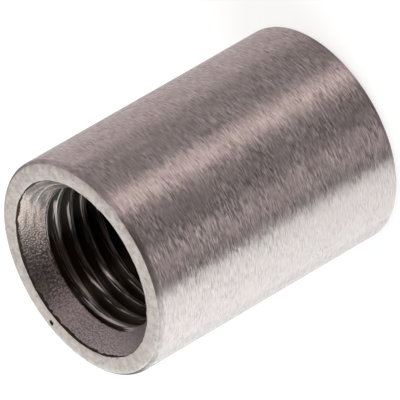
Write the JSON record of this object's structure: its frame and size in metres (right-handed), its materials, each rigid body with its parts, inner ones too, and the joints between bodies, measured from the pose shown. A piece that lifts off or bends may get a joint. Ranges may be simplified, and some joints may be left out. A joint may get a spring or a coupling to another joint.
{
  "type": "pipe socket",
  "caption": "Plain round stainless pipe socket with a parallel internal pipe thread and countersunk mouths, for joining two threaded pipe ends.",
  "frame": {"origin": "centre of the lower end face", "axes": "+Z along the bore, up through the upper end face; X and Y are free, because the socket is round"},
  "size_m": [0.0178, 0.0178, 0.0242],
  "materials": {
    "stainless_steel": "satin, finely turned"
  },
  "bodies": {
    "root": {"socket_body": "stainless_steel"}
  },
  "joints": []
}
